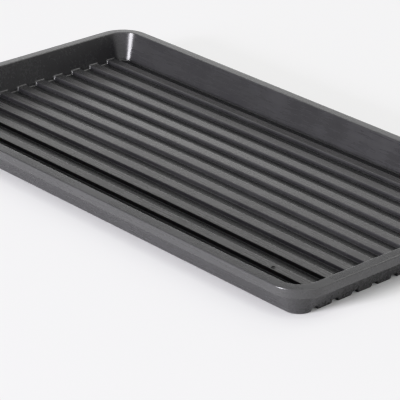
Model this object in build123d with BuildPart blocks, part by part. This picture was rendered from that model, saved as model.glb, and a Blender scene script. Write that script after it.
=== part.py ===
"""Shallow propagation tray: one moulding, modelled as its rim, walls and corrugated floor.

The tray is one piece of plastic of even thickness. It is divided here along its own
feature lines (straights, corners, ridges and grooves) into regions that meet face to face.
Origin: centre of the underside. +X along the tray, +Y across it, +Z up. Millimetres.
"""

import os
from math import cos, radians, tan

from build123d import *

# ---------------------------------------------------------------- driving dimensions
length = 536.0  # over the rim, along X
width = 282.0  # over the rim, along Y
height = 28.4  # from the ground to the top of the rim
sheet = 1.8  # thickness of the moulding
corner_radius = 28.0  # plan radius of the rim's outer edge

rim_width = 9.5  # flat top of the rim, from its outer edge to the inner edge
skirt_depth = 8.0  # how far the rim turns down
rim_outer_round = 1.2  # round over the rim's outer edge
rim_inner_round = 0.9  # round where the rim drops into the tray
skirt_inner_round = 0.8  # inside bend between flange and skirt
skirt_edge_round = 0.5  # free lower edge of the skirt

wall_lean = 14.0  # degrees that the walls lean inwards going down
wall_toe = 1.5  # level strip of floor that belongs to the wall
toe_outer_round = 1.0  # bend between wall and ground, outside
toe_inner_round = 1.0  # bend between wall and floor, inside

ridge_count = 11  # ridges standing up from the floor, side by side
ridge_height = 5.2  # ground to the top of a ridge
ridge_top_width = 9.3
ridge_base_width = 10.5
ridge_crest_round = 0.8  # upper edges of a ridge
ridge_hollow_round = 0.7  # bends under the crest
ridge_foot_round = 1.2  # edge where a web meets the ground

# ---------------------------------------------------------------- worked-out dimensions
slope = tan(radians(wall_lean))
wall_run = sheet / cos(radians(wall_lean))  # the leaning wall's thickness, measured level
flange_under = height - sheet
skirt_bottom = height - skirt_depth


def inner_face(z):
    """Distance from the rim's outer edge to the wall's inner face, at height z."""
    return rim_width + (height - z) * slope


def outer_face(z):
    """Distance from the rim's outer edge to the wall's outer face, at height z."""
    return inner_face(z) - wall_run


floor_edge = inner_face(sheet) + wall_toe  # where the walls' toes end and the floor begins
floor_width = width - 2 * inner_face(sheet)
groove_width = (floor_width - ridge_count * ridge_base_width) / (ridge_count + 1)
ridge_pitch = ridge_base_width + groove_width
first_ridge = -(ridge_count - 1) / 2 * ridge_pitch
ridge_places = [first_ridge + i * ridge_pitch for i in range(ridge_count)]

straight_x = length / 2 - corner_radius  # half of a long side's straight run
straight_y = width / 2 - corner_radius

# Each side: its name, where its straight run starts, and the run's direction and length.
# Taken in this order the inside of the tray is always on the left.
sides = [
    ("front", (-straight_x, -width / 2), (1, 0), 2 * straight_x),
    ("right", (length / 2, -straight_y), (0, 1), 2 * straight_y),
    ("back", (straight_x, width / 2), (-1, 0), 2 * straight_x),
    ("left", (-length / 2, straight_y), (0, -1), 2 * straight_y),
]
corner_names = ["front_right", "back_right", "back_left", "front_left"]


def section_plane(start, run, along=0.0):
    """Upright plane across a side: its x runs inwards from the rim's edge, its y up."""
    run_x, run_y = run
    origin = (start[0] + run_x * along, start[1] + run_y * along, 0)
    return Plane(origin=origin, x_dir=(-run_y, run_x, 0), z_dir=(run_x, run_y, 0))


def bend_axis(start, run, run_length):
    """Upright axis of the corner that follows a side's straight run."""
    centre = section_plane(start, run, run_length).from_local_coords((corner_radius, 0, 0))
    return Axis(centre, (0, 0, 1))


def near(x, z):
    """Selects the vertex of a section that stands at (x, z)."""
    return lambda vertex: abs(vertex.X - x) < 0.01 and abs(vertex.Y - z) < 0.01


def rim_section(plane):
    """Level flange with its skirt turned down."""
    with BuildSketch(plane) as section:
        with BuildLine():
            Polyline(
                (0, skirt_bottom),
                (0, height),
                (rim_width, height),
                (inner_face(flange_under), flange_under),
                (sheet, flange_under),
                (sheet, skirt_bottom),
                close=True,
            )
        make_face()
        fillet(section.vertices().filter_by(near(0, height)), rim_outer_round)
        fillet(section.vertices().filter_by(near(rim_width, height)), rim_inner_round)
        fillet(section.vertices().filter_by(near(sheet, flange_under)), skirt_inner_round)
        fillet(section.vertices().filter_by(near(0, skirt_bottom)), skirt_edge_round)
        fillet(section.vertices().filter_by(near(sheet, skirt_bottom)), skirt_edge_round)
    return section.sketch


def wall_section(plane):
    """Leaning wall from the flange's underside to the ground, with its toe turned inwards."""
    with BuildSketch(plane) as section:
        with BuildLine():
            Polyline(
                (outer_face(flange_under), flange_under),
                (outer_face(0), 0),
                (floor_edge, 0),
                (floor_edge, sheet),
                (inner_face(sheet), sheet),
                (inner_face(flange_under), flange_under),
                close=True,
            )
        make_face()
        fillet(section.vertices().filter_by(near(outer_face(0), 0)), toe_outer_round)
        fillet(section.vertices().filter_by(near(inner_face(sheet), sheet)), toe_inner_round)
    return section.sketch


def surround_section(plane):
    """All that lies outside the wall's inner face and toe, which the floor is cut back to."""
    with BuildSketch(plane) as section:
        with BuildLine():
            Polyline(
                (-rim_width, -sheet),
                (floor_edge, -sheet),
                (floor_edge, sheet),
                (inner_face(sheet), sheet),
                (rim_width, height),
                (-rim_width, height),
                close=True,
            )
        make_face()
        fillet(section.vertices().filter_by(near(inner_face(sheet), sheet)), toe_inner_round)
    return section.sketch


def ridge_section(plane):
    """A ridge's outside: a level crest on two upright webs that stand on the ground."""
    crest, base = ridge_top_width / 2, ridge_base_width / 2
    with BuildSketch(plane) as section:
        with BuildLine():
            Polyline(
                (-base, 0),
                (-base, sheet),
                (-crest, ridge_height),
                (crest, ridge_height),
                (base, sheet),
                (base, 0),
                close=True,
            )
        make_face()
        crest_corners = section.vertices().group_by(Axis.Y)[-1]
        fillet(crest_corners, ridge_crest_round)
    return section.sketch


def hollow_section(plane):
    """The space under a ridge, which flares where the webs' feet are rounded."""
    top = ridge_top_width / 2 - sheet
    base = ridge_base_width / 2 - sheet
    flare = base + ridge_foot_round
    ceiling = ridge_height - sheet
    with BuildSketch(plane) as section:
        with BuildLine():
            Polyline(
                (-flare, -sheet),
                (-flare, 0),
                (-base, 0),
                (-top, ceiling),
                (top, ceiling),
                (base, 0),
                (flare, 0),
                (flare, -sheet),
                close=True,
            )
        make_face()
        fillet(section.vertices().group_by(Axis.Y)[-1], ridge_hollow_round)
        fillet(section.vertices().filter_by(near(-base, 0)), ridge_foot_round)
        fillet(section.vertices().filter_by(near(base, 0)), ridge_foot_round)
    return section.sketch


def along_the_tray(place):
    """Upright plane across a ridge, at the tray's left end: its x is +Y, its y is up."""
    return Plane(origin=(-length / 2, place, 0), x_dir=(0, 1, 0), z_dir=(1, 0, 0))


def write(part, label):
    """Labels a finished region and writes it as its own file."""
    part.label = label
    export_step(part, f"parts/{label}.step")


os.makedirs("parts", exist_ok=True)

# ---------------------------------------------------------------- cutting shapes
# The hollows run right through both end walls, which leaves a row of feet along each end.
with BuildPart() as hollows:
    for place in ridge_places:
        extrude(hollow_section(along_the_tray(place)), amount=length)

with BuildPart() as surround:
    for name, start, run, run_length in sides:
        extrude(surround_section(section_plane(start, run)), amount=run_length)
        bend = surround_section(section_plane(start, run, run_length))
        revolve(bend, axis=bend_axis(start, run, run_length), revolution_arc=90)

# ---------------------------------------------------------------- rim and walls
for (name, start, run, run_length), corner in zip(sides, corner_names):
    across = section_plane(start, run)
    at_bend = section_plane(start, run, run_length)
    axis = bend_axis(start, run, run_length)

    with BuildPart() as rim_straight:
        extrude(rim_section(across), amount=run_length)
    write(rim_straight.part, f"rim_{name}")

    with BuildPart() as rim_corner:
        revolve(rim_section(at_bend), axis=axis, revolution_arc=90)
    write(rim_corner.part, f"rim_corner_{corner}")

    with BuildPart() as wall_straight:
        extrude(wall_section(across), amount=run_length)
        add(hollows.part, mode=Mode.SUBTRACT)
    write(wall_straight.part, f"wall_{name}")

    with BuildPart() as wall_corner:
        revolve(wall_section(at_bend), axis=axis, revolution_arc=90)
        add(hollows.part, mode=Mode.SUBTRACT)
    write(wall_corner.part, f"wall_corner_{corner}")

# ---------------------------------------------------------------- floor
for number, place in enumerate(ridge_places, start=1):
    with BuildPart() as ridge:
        extrude(ridge_section(along_the_tray(place)), amount=length)
        add(hollows.part, mode=Mode.SUBTRACT)
        add(surround.part, mode=Mode.SUBTRACT)
    write(ridge.part, f"floor_ridge_{number:02d}")

groove_places = [first_ridge + (i - 0.5) * ridge_pitch for i in range(ridge_count + 1)]
for number, place in enumerate(groove_places, start=1):
    with BuildPart() as groove:
        with BuildSketch(Plane.XY):
            with Locations((0, place)):
                Rectangle(length, groove_width)
        extrude(amount=sheet)
        add(surround.part, mode=Mode.SUBTRACT)
    write(groove.part, f"floor_groove_{number:02d}")

print("grooves", round(groove_width, 2), "wide, ridges every", round(ridge_pitch, 2))
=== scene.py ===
from math import atan, cos, pi, radians, sin, sqrt, tan

import bpy
import numpy as np
from mathutils import Matrix, Vector


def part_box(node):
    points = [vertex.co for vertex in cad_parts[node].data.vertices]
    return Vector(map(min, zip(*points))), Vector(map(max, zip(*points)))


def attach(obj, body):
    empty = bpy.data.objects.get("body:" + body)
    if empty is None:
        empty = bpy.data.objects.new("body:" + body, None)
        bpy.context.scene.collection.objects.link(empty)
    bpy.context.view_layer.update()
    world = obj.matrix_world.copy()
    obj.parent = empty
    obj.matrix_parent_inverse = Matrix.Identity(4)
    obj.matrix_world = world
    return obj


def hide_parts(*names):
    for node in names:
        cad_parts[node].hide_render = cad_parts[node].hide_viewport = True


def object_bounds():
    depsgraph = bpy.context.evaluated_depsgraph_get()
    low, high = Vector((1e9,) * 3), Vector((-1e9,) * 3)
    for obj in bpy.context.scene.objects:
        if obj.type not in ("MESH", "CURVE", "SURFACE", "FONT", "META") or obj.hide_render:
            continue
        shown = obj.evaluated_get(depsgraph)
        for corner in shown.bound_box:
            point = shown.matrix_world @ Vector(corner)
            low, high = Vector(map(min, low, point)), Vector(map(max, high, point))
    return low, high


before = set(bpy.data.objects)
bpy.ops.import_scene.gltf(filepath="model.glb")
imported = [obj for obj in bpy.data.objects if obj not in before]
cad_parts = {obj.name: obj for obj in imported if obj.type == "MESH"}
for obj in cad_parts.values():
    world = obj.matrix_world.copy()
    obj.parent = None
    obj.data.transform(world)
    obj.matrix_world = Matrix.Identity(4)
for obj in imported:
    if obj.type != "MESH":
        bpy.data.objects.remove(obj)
cad_low, cad_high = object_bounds()

# ------------------------------------------------------------------ sizes, from the frame
MM = 0.001
LENGTH = cad_high.x - cad_low.x
WIDTH = cad_high.y - cad_low.y
RIM_TOP = cad_high.z
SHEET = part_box("floor_groove_06")[1].z
FLANGE_UNDER = RIM_TOP - SHEET
SKIRT_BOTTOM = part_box("rim_front")[0].z
RIDGE_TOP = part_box("floor_ridge_06")[1].z
CORNER_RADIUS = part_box("rim_corner_front_right")[1].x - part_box("rim_corner_front_right")[0].x
# From the rim's outer edge to the wall's inner face, at two heights.
FLANGE_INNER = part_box("rim_front")[1].y - cad_low.y  # level with the flange's underside
RIDGE_END = cad_high.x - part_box("floor_ridge_06")[1].x  # level with the ridge tops
SLOPE = (RIDGE_END - FLANGE_INNER) / (FLANGE_UNDER - RIDGE_TOP)
WALL_RUN = SHEET / cos(atan(SLOPE))
RIDGE_NODES = sorted(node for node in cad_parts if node.startswith("floor_ridge_"))
RIDGE_PLACES = [(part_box(node)[0].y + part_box(node)[1].y) / 2 for node in RIDGE_NODES]
RIDGE_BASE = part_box("floor_ridge_06")[1].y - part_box("floor_ridge_06")[0].y
PITCH = RIDGE_PLACES[1] - RIDGE_PLACES[0]

# ------------------------------------------------------------------ rounds and bends of the moulding
WEB_LEAN = 0.6 * MM  # a ridge's web leans in by this on its way up
RIM_OUTER_ROUND = 1.2 * MM
RIM_INNER_ROUND = 0.9 * MM
RIM_FALL = 0.16 * MM  # the rim's top slopes down outwards by this
SKIRT_EDGE_ROUND = 0.5 * MM
SKIRT_BEND = 0.8 * MM
WALL_FOOT_BEND = 1.2 * MM  # inside, where the wall meets the floor or a ridge's top
TOE_ROUND = 1.0 * MM  # outside, where the wall meets the ground
NOTCH_ROUND = 0.8 * MM  # outside, where the wall ends above a hollow
RIDGE_BEND = 0.7 * MM  # floor to web
CREST_ROUND = 0.8 * MM  # web to ridge top
HOLLOW_BEND = 0.7 * MM  # hollow's roof to web
FOOT_ROUND = 1.2 * MM  # web to the ground
DOME = 2.5 * MM  # the middle of the floor stands this much higher than its edges
DOME_RIDGE = 15 * MM  # how far the top of the dome stays round, across the tray
DOME_POWER = 1.5  # how fast the dome falls off along the tray

# ------------------------------------------------------------------ how the skin's grid is laid out
FLAT_STEPS = 4  # rings on the floor, between the wall's foot and the plain grid
LENGTHS = 28  # steps along the tray inside the rings
RING_GAP = 0.4 * MM  # flat floor between the last ring and the first ridge's bend
FIRST_BASE = WIDTH / 2 - (RIDGE_PLACES[-1] + RIDGE_BASE / 2)  # rim's outer edge to the first ridge
INNERMOST = FIRST_BASE - RIDGE_BEND - WALL_FOOT_BEND - RING_GAP  # rim's outer edge to the last ring
FLARE_RAMP = 0.75  # a ridge's flare is full-sized from this share of the way to the floor's first ring
ALMOST_ZERO = 1e-12

# ------------------------------------------------------------------ gate mark, where the plastic went in
MARK_X = 185.5 * MM
MARK_OFFSET = 1.3 * MM  # from the middle of the second ridge, toward -Y
MARK_SIDES = 32
MARK_MIDDLE = 0.02  # height of the dish's middle above the ridge, in mm
# Radius and height of each ring, in mm: a shallow dish, its raised lip and the lip's foot.
MARK_RINGS = [
    (0.7, 0.03), (1.1, 0.08), (1.35, 0.22), (1.5, 0.3), (1.65, 0.28), (1.75, 0.14), (1.8, -0.1)]


def placed(name, data):
    """A new object, linked to the scene."""
    item = bpy.data.objects.new(name, data)
    bpy.context.scene.collection.objects.link(item)
    return item


def smooth_mesh(name, points, faces):
    mesh = bpy.data.meshes.new(name)
    mesh.from_pydata(points, [], faces)
    mesh.polygons.foreach_set("use_smooth", [True] * len(mesh.polygons))
    mesh.update()
    return mesh


# ------------------------------------------------------------------ section of the moulding
def inner_face(z):
    """Distance in from the rim's outer edge to the wall's inner face."""
    return FLANGE_INNER + (FLANGE_UNDER - z) * SLOPE


def outer_face(z):
    """The same, to the wall's outer face."""
    return inner_face(z) - WALL_RUN


def corner_arc(before, corner, after, radius, steps):
    """Points of the arc that rounds one corner of a line."""
    back = before - corner
    ahead = after - corner
    back /= np.linalg.norm(back)
    ahead /= np.linalg.norm(ahead)
    half = np.arccos(np.clip(back @ ahead, -1, 1)) / 2
    middle = (back + ahead) / np.linalg.norm(back + ahead)
    centre = corner + middle * radius / sin(half)
    start = corner + back * radius / tan(half) - centre
    stop = corner + ahead * radius / tan(half) - centre
    turn = pi - 2 * half
    sense = np.sign(start[0] * stop[1] - start[1] * stop[0])
    arc = []
    for step in range(steps + 1):
        angle = sense * turn * step / steps
        arc.append(centre + np.array([
            start[0] * cos(angle) - start[1] * sin(angle),
            start[0] * sin(angle) + start[1] * cos(angle),
        ]))
    return arc


def rounded(corners):
    """Points along a line whose corners are (across, up, radius, arc steps, points on the run after)."""
    spots = [np.array(corner[:2], float) for corner in corners]
    arcs = []
    for i, (_, _, radius, steps, _) in enumerate(corners):
        if radius == 0:
            arcs.append([spots[i]])
        else:
            arcs.append(corner_arc(spots[i - 1], spots[i], spots[i + 1], radius, steps))
    points = []
    for i, arc in enumerate(arcs):
        points.extend(arc)
        if i + 1 < len(arcs):
            between = corners[i][4]
            for step in range(1, between + 1):
                points.append(arc[-1] + (arcs[i + 1][0] - arc[-1]) * step / (between + 1))
    return np.array(points)


def upper_profile(level):
    """Skirt's lower edge, over the rim, down the wall's inner face to a floor at this level."""
    return rounded([
        (SHEET / 2, SKIRT_BOTTOM, 0, 0, 0),
        (0, SKIRT_BOTTOM, SKIRT_EDGE_ROUND, 3, 1),
        (0, RIM_TOP - RIM_FALL, RIM_OUTER_ROUND, 6, 1),
        (FLANGE_INNER - SHEET * SLOPE, RIM_TOP, RIM_INNER_ROUND, 6, 4),
        (inner_face(level), level, WALL_FOOT_BEND, 6, FLAT_STEPS - 1),
        (INNERMOST, level, 0, 0, 0),
    ])


def lower_profile(level):
    """Skirt's lower edge, under the flange, down the wall's outer face to the ground or a hollow."""
    share = level / (RIDGE_TOP - SHEET)
    edge_round = TOE_ROUND + (NOTCH_ROUND - TOE_ROUND) * share
    return rounded([
        (SHEET / 2, SKIRT_BOTTOM, 0, 0, 0),
        (SHEET, SKIRT_BOTTOM, SKIRT_EDGE_ROUND, 3, 1),
        (SHEET, FLANGE_UNDER, SKIRT_BEND, 5, 1),
        (outer_face(FLANGE_UNDER), FLANGE_UNDER, SKIRT_BEND, 5, 4),
        (outer_face(level), level, edge_round, 8, FLAT_STEPS - 1),
        (INNERMOST, level, 0, 0, 0),
    ])


RINGS = len(upper_profile(SHEET)) - 1
FLOOR_RING = RINGS - FLAT_STEPS
assert RINGS == len(lower_profile(0)) - 1  # the two faces have the same grid


def across_floor(half_base, half_top, low, high, bend, crest):
    """Lines across the floor from one gutter to the other: place, height and flare of each."""
    half = rounded([
        (0, high, 0, 0, 2),
        (half_top, high, crest, 6, 1),
        (half_base, low, bend, 4, 1),
        (PITCH / 2, low, 0, 0, 0),
    ])
    # A ridge flares most at its webs, and not at all at its middle or in the middle of a groove.
    flare = [0, 1 / 3, 2 / 3] + [1] * (len(half) - 5) + [0.5, 0]
    lines = []
    for number, place in enumerate(RIDGE_PLACES):
        first = number == 0
        last = number == len(RIDGE_PLACES) - 1
        left = [(place - d, z, -f) for (d, z), f in zip(half, flare)][::-1]
        right = [(place + d, z, f) for (d, z), f in zip(half, flare)]
        if first:
            left[0] = (INNERMOST - WIDTH / 2, low, 0)
            left[1] = ((left[0][0] + left[2][0]) / 2, low, left[1][2])
        if last:
            right[-1] = (WIDTH / 2 - INNERMOST, low, 0)
            right[-2] = ((right[-1][0] + right[-3][0]) / 2, low, right[-2][2])
        lines.extend((left if first else left[1:]) + right[1:])
    return lines


def lift(x, y):
    """How far the domed floor stands up at this place; nothing at the walls' feet."""
    half_length = LENGTH / 2 - inner_face(SHEET)
    half_width = WIDTH / 2 - inner_face(SHEET)
    lengthways = max(0.0, 1 - (x / half_length) ** 2) ** DOME_POWER
    spread = sqrt(half_width**2 + DOME_RIDGE**2) - DOME_RIDGE
    crossways = max(0.0, 1 - (sqrt(y**2 + DOME_RIDGE**2) - DOME_RIDGE) / spread)
    return DOME * lengthways * crossways


# ------------------------------------------------------------------ rings round the tray, and the skin
def ring_corner(ring, inset):
    """Centre and radius of a ring's corner: concentric down to the floor, then shrinking."""
    share = max(0, ring - FLOOR_RING) / FLAT_STEPS
    centre = CORNER_RADIUS + (INNERMOST - CORNER_RADIUS) * share
    return centre, max(centre - inset, 0)


def on_corner(ring, inset, step):
    """Insets of a corner point; step runs from the ring's own number, at the diagonal, to RINGS."""
    centre, radius = ring_corner(ring, inset)
    if radius < ALMOST_ZERO:
        return inset, inset
    start = np.arcsin(min(1, (centre - INNERMOST) / radius))
    turn = start + (pi / 4 - start) * (RINGS - step) / (RINGS - ring)
    return centre - radius * cos(turn), centre - radius * sin(turn)


def on_side(ring, inset, from_end):
    """Inset of a point on one side of a ring, which may still be on the corner's arc."""
    centre, radius = ring_corner(ring, inset)
    if from_end >= centre:
        return inset
    return centre - sqrt(max(radius**2 - (centre - from_end) ** 2, 0))


def past_inner_face(z, inset):
    """How far in from the wall's inner face a point is; all above the ridges counts as on the face."""
    return inset - inner_face(z) if z < RIDGE_TOP + MM else 0.0


def past_outer_face(z, inset):
    """How far in from the wall's outer face a point is."""
    return inset - outer_face(z)


def flared(line, ring, away, flare_round):
    """Place of a floor line near the end wall, where its ridge widens to meet the wall in a bend."""
    place, _, flare = line
    if not flare or away >= flare_round:
        return place
    reach = flare_round - sqrt(flare_round**2 - (flare_round - away) ** 2)
    fade = min(1.0, ring / (FLARE_RAMP * FLOOR_RING))
    return place + flare * reach * fade


def surface(profile, lines, flare_round, past_wall):
    """Grid of points for one face of the moulding.

    The outer rings follow the rim and the wall round the tray, and the rest is the floor.
    Each line along the tray keeps its own height, so the wall's foot rises and falls with it.
    """
    low = lines[0][1]
    profiles = {z: profile(z) for z in {line[1] for line in lines}}
    along = np.linspace(INNERMOST - LENGTH / 2, LENGTH / 2 - INNERMOST, LENGTHS + 1)
    columns = LENGTHS + 2 * RINGS
    rows = len(lines) - 1 + 2 * RINGS
    points = np.zeros((columns + 1, rows + 1, 3))
    for i in range(columns + 1):
        end = min(i, columns - i)
        side_x = -1 if i <= columns // 2 else 1
        for j in range(rows + 1):
            edge = min(j, rows - j)
            side_y = -1 if j <= rows // 2 else 1
            if edge >= RINGS and end >= RINGS:
                place, z, _ = lines[j - RINGS]
                points[i, j] = along[i - RINGS], place, z
            elif edge >= RINGS:
                line = lines[j - RINGS]
                inset, z = profiles[line[1]][end]
                y = flared(line, end, max(0.0, past_wall(z, inset)), flare_round)
                x = LENGTH / 2 - on_side(end, inset, WIDTH / 2 - abs(y))
                points[i, j] = side_x * x, y, z
            elif end >= RINGS:
                inset, z = profiles[low][edge]
                x = along[i - RINGS]
                y = WIDTH / 2 - on_side(edge, inset, LENGTH / 2 - abs(x))
                points[i, j] = x, side_y * y, z
            else:
                ring = min(end, edge)
                inset, z = profiles[low][ring]
                short, far = on_corner(ring, inset, max(end, edge))
                inset_x, inset_y = (short, far) if end < edge else (far, short)
                points[i, j] = side_x * (LENGTH / 2 - inset_x), side_y * (WIDTH / 2 - inset_y), z
    for point in points.reshape(-1, 3):
        point[2] += lift(point[0], point[1])
    return points


def quads(ids, flip):
    """Faces between neighbouring points of a grid, turned over for the lower side."""
    corners = [ids[:-1, :-1], ids[1:, :-1], ids[1:, 1:], ids[:-1, 1:]]
    if flip:
        corners = [corners[0], corners[3], corners[2], corners[1]]
    return np.stack(corners, axis=-1).reshape(-1, 4).tolist()


def moulding():
    """The whole tray as one closed skin: upper face, lower face, joined along the skirt's edge."""
    half_base = RIDGE_BASE / 2
    half_top = RIDGE_BASE / 2 - WEB_LEAN
    top_lines = across_floor(half_base, half_top, SHEET, RIDGE_TOP, RIDGE_BEND, CREST_ROUND)
    under_lines = across_floor(
        half_base - SHEET, half_top - SHEET, 0.0, RIDGE_TOP - SHEET, FOOT_ROUND, HOLLOW_BEND)
    upper = surface(upper_profile, top_lines, WALL_FOOT_BEND, past_inner_face)
    lower = surface(lower_profile, under_lines, NOTCH_ROUND, past_outer_face)
    # Both faces share the ring along the middle of the skirt's lower edge.
    shared = np.zeros(upper.shape[:2], bool)
    shared[0, :] = shared[-1, :] = shared[:, 0] = shared[:, -1] = True
    upper_ids = np.arange(shared.size).reshape(shared.shape)
    lower_ids = upper_ids.copy()
    lower_ids[~shared] = shared.size + np.arange((~shared).sum())
    points = np.concatenate([upper.reshape(-1, 3), lower[~shared]])
    faces = quads(upper_ids, False) + quads(lower_ids, True)
    return placed("tray", smooth_mesh("tray", points.tolist(), faces))


# ------------------------------------------------------------------ where the plastic is worn, and where the ridge tops are painted lighter
CREST_BAND = 0.3 * MM  # points this near the level of the ridge tops count as crest


def outward_bend(mesh, places):
    """How sharply the surface bends outwards at each point, as one over the radius."""
    normals = np.array([normal.vector for normal in mesh.vertex_normals])
    pairs = np.empty(len(mesh.edges) * 2, int)
    mesh.edges.foreach_get("vertices", pairs)
    one, two = pairs.reshape(-1, 2).T
    gap = places[two] - places[one]
    gap_squared = np.einsum("ij,ij->i", gap, gap)
    turned = np.einsum("ij,ij->i", normals[two] - normals[one], gap)
    bend = turned / np.maximum(gap_squared, ALMOST_ZERO)
    most = np.zeros(len(places))
    np.maximum.at(most, one, bend)
    np.maximum.at(most, two, bend)
    return most


def mark_surface(tray):
    """Stores two layers for the material: the edges that wear, and the ridge tops, which get painted
    light.
    """
    mesh = tray.data
    places = np.empty(len(mesh.vertices) * 3)
    mesh.vertices.foreach_get("co", places)
    places = places.reshape(-1, 3)
    sharpest = 1 / CREST_ROUND
    edge = mesh.attributes.new("edge", "FLOAT", "POINT")
    edge.data.foreach_set("value", np.clip(outward_bend(mesh, places) / sharpest, 0, 1))
    # The crest layer marks the ridge tops, which the material paints lighter as painted light.
    crest = mesh.attributes.new("crest", "FLOAT", "POINT")
    level = np.array([z - lift(x, y) for x, y, z in places])
    on_floor = np.abs(places[:, 0]) < LENGTH / 2 - INNERMOST
    on_top = (level > RIDGE_TOP - CREST_BAND) & (level < RIDGE_TOP + CREST_BAND)
    crest.data.foreach_set("value", (on_floor & on_top).astype(float))


def gate_mark():
    """A low ring with a shallow dish inside it, on the second ridge."""

    def spot(radius, turn, height):
        x = MARK_X + radius * MM * cos(turn)
        y = RIDGE_PLACES[1] - MARK_OFFSET + radius * MM * sin(turn)
        return x, y, height * MM + RIDGE_TOP + lift(x, y)

    points = [spot(0, 0, MARK_MIDDLE)]
    for radius, height in MARK_RINGS:
        for side in range(MARK_SIDES):
            points.append(spot(radius, 2 * pi * side / MARK_SIDES, height))
    faces = [(0, 1 + side, 1 + (side + 1) % MARK_SIDES) for side in range(MARK_SIDES)]
    for ring in range(len(MARK_RINGS) - 1):
        inside = 1 + ring * MARK_SIDES
        outside = inside + MARK_SIDES
        for side in range(MARK_SIDES):
            ahead = (side + 1) % MARK_SIDES
            faces.append((inside + side, outside + side, outside + ahead, inside + ahead))
    last = 1 + (len(MARK_RINGS) - 1) * MARK_SIDES
    faces.append(tuple(last + side for side in reversed(range(MARK_SIDES))))
    return placed("gate_mark", smooth_mesh("gate_mark", points, faces))


# ------------------------------------------------------------------ materials
class Nodes:
    """A short way to write a node tree."""

    def __init__(self, tree):
        self.tree = tree
        tree.nodes.clear()

    def add(self, kind, inputs=None, **settings):
        node = self.tree.nodes.new(kind)
        for key, value in settings.items():
            setattr(node, key, value)
        for key, value in (inputs or {}).items():
            if isinstance(value, bpy.types.NodeSocket):
                self.tree.links.new(value, node.inputs[key])
            else:
                node.inputs[key].default_value = value
        return node

    def noise(self, where, scale, detail, rough):
        return self.add("ShaderNodeTexNoise", {
            "Vector": where, "Scale": scale, "Detail": detail, "Roughness": rough}).outputs["Fac"]

    def layer(self, name):
        """A value stored on the mesh."""
        return self.add("ShaderNodeAttribute", attribute_name=name).outputs["Fac"]

    def math(self, operation, one, two, clamp=False):
        node = self.add("ShaderNodeMath", {0: one, 1: two}, operation=operation, use_clamp=clamp)
        return node.outputs[0]

    def spread(self, value, low, high, to_low, to_high):
        return self.add("ShaderNodeMapRange", {
            "Value": value, "From Min": low, "From Max": high,
            "To Min": to_low, "To Max": to_high}).outputs["Result"]

    def mix(self, share, one, two):
        """A colour between two; 6, 7 and 2 are the node's colour sockets."""
        return self.add("ShaderNodeMix", {0: share, 6: one, 7: two}, data_type="RGBA").outputs[2]

    def join(self, shader, output):
        """Sends a shader to a new output node."""
        self.tree.links.new(shader.outputs[0], self.add(output).inputs[0])


def new_material(name):
    material = bpy.data.materials.new(name)
    material.use_nodes = True
    return material, Nodes(material.node_tree)


PLASTIC = (0.043, 0.043, 0.0435, 1)
SCUFFED = (0.060, 0.060, 0.061, 1)  # on worn edges, and in faint clouds elsewhere
CREST_PAINTED_LIGHT = (0.076, 0.075, 0.075, 1)  # painted light: the ridge tops are painted lighter, standing in for the brighter light they catch
GRAIN_SCALE = 2600  # features of each noise in a metre
FINE_SCALE = 900
CLOUD_SCALE = 22
FLOW_SCALE = 6
FLOW_STRETCH = (6, 60, 60)  # the plastic flowed along the tray
SMOOTH = 0.24  # roughness where the clouds are dark
DULL = 0.30  # roughness where they are bright
FLOW_CHANGE = 0.03  # the flow lines add this much to the roughness, or take it away
GRAIN_STRENGTH = 0.1
GRAIN_DEPTH = 0.12 * MM


def moulded_plastic(name, shade=1.0, shine=0.7):
    """Dark grey polypropylene with a fine spark-eroded grain, slightly polished by handling."""
    material, nodes = new_material(name)
    where = nodes.add("ShaderNodeTexCoord").outputs["Object"]
    grain = nodes.noise(where, GRAIN_SCALE, detail=2.0, rough=0.6)
    fine = nodes.noise(where, FINE_SCALE, detail=3.0, rough=0.6)
    cloud = nodes.noise(where, CLOUD_SCALE, detail=4.0, rough=0.55)
    stretched = nodes.add("ShaderNodeMapping", {"Vector": where, "Scale": FLOW_STRETCH}).outputs[0]
    flow = nodes.noise(stretched, FLOW_SCALE, detail=3.0, rough=0.6)

    base = tuple(shade * part for part in PLASTIC[:3]) + (1,)
    body = nodes.mix(nodes.spread(cloud, 0.35, 0.65, 0.0, 0.22), base, SCUFFED)
    patchy = nodes.spread(fine, 0.48, 0.62, 0.2, 0.35)
    worn = nodes.math("MULTIPLY", nodes.layer("edge"), patchy, clamp=True)
    # Painted light: the ridge tops are painted lighter, in patches, standing in for the brighter light
    # they catch.
    painted_light_patches = nodes.spread(cloud, 0.3, 0.7, 0.75, 1.0)
    crest_painted_light = nodes.math("MULTIPLY", nodes.layer("crest"), painted_light_patches)
    colour = nodes.mix(crest_painted_light, nodes.mix(worn, body, SCUFFED), CREST_PAINTED_LIGHT)

    polish = nodes.spread(cloud, 0.3, 0.7, SMOOTH, DULL)
    rough = nodes.math("ADD", polish, nodes.spread(flow, 0.3, 0.7, -FLOW_CHANGE, FLOW_CHANGE))
    height = nodes.math("ADD", nodes.math("MULTIPLY", grain, 0.4), nodes.math("MULTIPLY", fine, 0.6))
    bump = nodes.add("ShaderNodeBump", {
        "Height": height, "Strength": GRAIN_STRENGTH, "Distance": GRAIN_DEPTH})
    shader = nodes.add("ShaderNodeBsdfPrincipled", {
        "Base Color": colour, "Roughness": rough, "IOR": 1.5,
        "Specular IOR Level": shine, "Normal": bump.outputs[0]})
    nodes.join(shader, "ShaderNodeOutputMaterial")
    return material


PAPER_SCALE = 3
PAPER_DARK = (0.85, 0.85, 0.85, 1)
PAPER_LIGHT = (0.87, 0.87, 0.87, 1)


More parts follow.
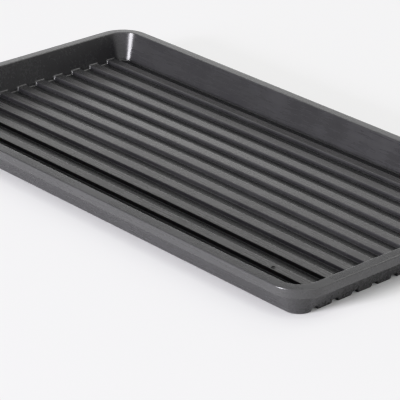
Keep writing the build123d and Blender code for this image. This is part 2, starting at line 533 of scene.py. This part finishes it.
def pale_paper():
    """Matt studio paper with a barely visible mottle."""
    material, nodes = new_material("pale_floor")
    where = nodes.add("ShaderNodeTexCoord").outputs["Object"]
    mottle = nodes.noise(where, PAPER_SCALE, detail=3.0, rough=0.5)
    colour = nodes.mix(nodes.spread(mottle, 0.3, 0.7, 0.0, 1.0), PAPER_DARK, PAPER_LIGHT)
    shader = nodes.add("ShaderNodeBsdfPrincipled", {"Base Color": colour, "Roughness": 0.7})
    nodes.join(shader, "ShaderNodeOutputMaterial")
    return material


# ------------------------------------------------------------------ the object
tray = moulding()
mark_surface(tray)
tray.data.materials.append(moulded_plastic("moulded_plastic"))
even = tray.modifiers.new("even_shading", "WEIGHTED_NORMAL")
even.keep_sharp = False
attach(tray, "root")
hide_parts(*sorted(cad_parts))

# The gate mark is darker than the tray and shines less.
mark = gate_mark()
mark.data.materials.append(moulded_plastic("gate_plastic", shade=0.4, shine=0.22))
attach(mark, "root")

# ------------------------------------------------------------------ floor
FLOOR_HALF = 12.0


def studio_floor():
    corners = [(-1, -1), (1, -1), (1, 1), (-1, 1)]
    mesh = bpy.data.meshes.new("floor")
    mesh.from_pydata([(x * FLOOR_HALF, y * FLOOR_HALF, 0) for x, y in corners], [], [(0, 1, 2, 3)])
    mesh.materials.append(pale_paper())
    return placed("floor", mesh)


floor = studio_floor()


# ------------------------------------------------------------------ lights
def toward(azimuth, elevation):
    """Direction out from the tray; azimuth 0 is the -Y side and 90 is the +X side."""
    turn = radians(azimuth)
    rise = radians(elevation)
    return sin(turn) * cos(rise), -cos(turn) * cos(rise), sin(rise)


def look_from(direction, distance, target):
    """Matrix that stands back from the target and looks at it."""
    back = Vector(direction).normalized()
    facing = back.to_track_quat("Z", "Y").to_matrix().to_4x4()
    return Matrix.Translation(Vector(target) + back * distance) @ facing


def softbox(name, azimuth, elevation, distance, size, power, colour):
    """Rectangular area light that faces the tray."""
    light = bpy.data.lights.new(name, "AREA")
    light.shape = "RECTANGLE"
    light.size, light.size_y = size
    light.energy = power
    light.color = colour
    lamp = placed(name, light)
    lamp.matrix_world = look_from(toward(azimuth, elevation), distance, (0, 0, 0))


softbox("front_window", azimuth=-6, elevation=14, distance=3.0, size=(1.0, 0.7), power=150,
        colour=(0.96, 0.94, 1.0))
softbox("back_softbox", azimuth=178, elevation=42, distance=3.0, size=(1.6, 1.2), power=14,
        colour=(1.0, 0.99, 0.96))

# The room: the powers shape how each part of its light changes with height.
CEILING_POWER = 2.0
CEILING_LIGHT = 1.2
SIDE_POWER = 8.0
SIDE_LIGHT = 1.6
BACKDROP_X = 0.67  # the backdrop stands on the -X, +Y side
BACKDROP_Y = 0.74
BACKDROP_POWER = 7.0
BACKDROP_LIGHT = 15.0
BACKDROP_MOST = 2.4


def studio_room():
    """World light: a bright ceiling, a bright +X side and a low backdrop behind the tray."""
    world = bpy.data.worlds.new("studio")
    world.use_nodes = True
    bpy.context.scene.world = world
    nodes = Nodes(world.node_tree)
    heading = nodes.add("ShaderNodeTexCoord").outputs["Generated"]
    to_x, to_y, to_z = nodes.add("ShaderNodeSeparateXYZ", {0: heading}).outputs

    upward = nodes.math("POWER", nodes.math("MAXIMUM", to_z, 0.0), CEILING_POWER)
    ceiling = nodes.math("MULTIPLY", upward, CEILING_LIGHT)

    lowness = nodes.math("SUBTRACT", 1.0, to_z, clamp=True)  # 1 at the horizon, 0 overhead
    above_horizon = nodes.math("SUBTRACT", 1.0, nodes.math("POWER", lowness, SIDE_POWER))
    sideways = nodes.math("MULTIPLY", nodes.math("MAXIMUM", to_x, 0.0), above_horizon)
    side = nodes.math("MULTIPLY", sideways, SIDE_LIGHT)

    part_y = nodes.math("MULTIPLY", to_y, BACKDROP_Y)
    part_x = nodes.math("MULTIPLY", to_x, BACKDROP_X)
    behind = nodes.math("MAXIMUM", nodes.math("SUBTRACT", part_y, part_x), 0.0)
    fading = nodes.math("MULTIPLY", nodes.math("POWER", lowness, BACKDROP_POWER), BACKDROP_LIGHT)
    backdrop = nodes.math("MULTIPLY", behind, nodes.math("MINIMUM", fading, BACKDROP_MOST))

    level = nodes.math("ADD", nodes.math("ADD", ceiling, side), backdrop)
    sky = nodes.add("ShaderNodeBackground", {"Color": (1.0, 1.0, 1.0, 1), "Strength": level})
    nodes.join(sky, "ShaderNodeOutputWorld")


studio_room()

# ------------------------------------------------------------------ camera
CAMERA_AZIMUTH = 48.25
CAMERA_ELEVATION = 24.33
CAMERA_ROLL = 0.38
CAMERA_DISTANCE = 1.953
CAMERA_TARGET = (0.0434, -0.0390, 0.0004)
SENSOR = 36.0
LENS = 208.5


def product_camera():
    """Long lens, from the front right and above."""
    data = bpy.data.cameras.new("camera")
    data.sensor_width = SENSOR
    data.lens = LENS
    camera = placed("camera", data)
    view = look_from(toward(CAMERA_AZIMUTH, CAMERA_ELEVATION), CAMERA_DISTANCE, CAMERA_TARGET)
    camera.matrix_world = view @ Matrix.Rotation(radians(CAMERA_ROLL), 4, "Z")
    bpy.context.scene.camera = camera


product_camera()
bpy.context.scene.view_settings.view_transform = "Khronos PBR Neutral"
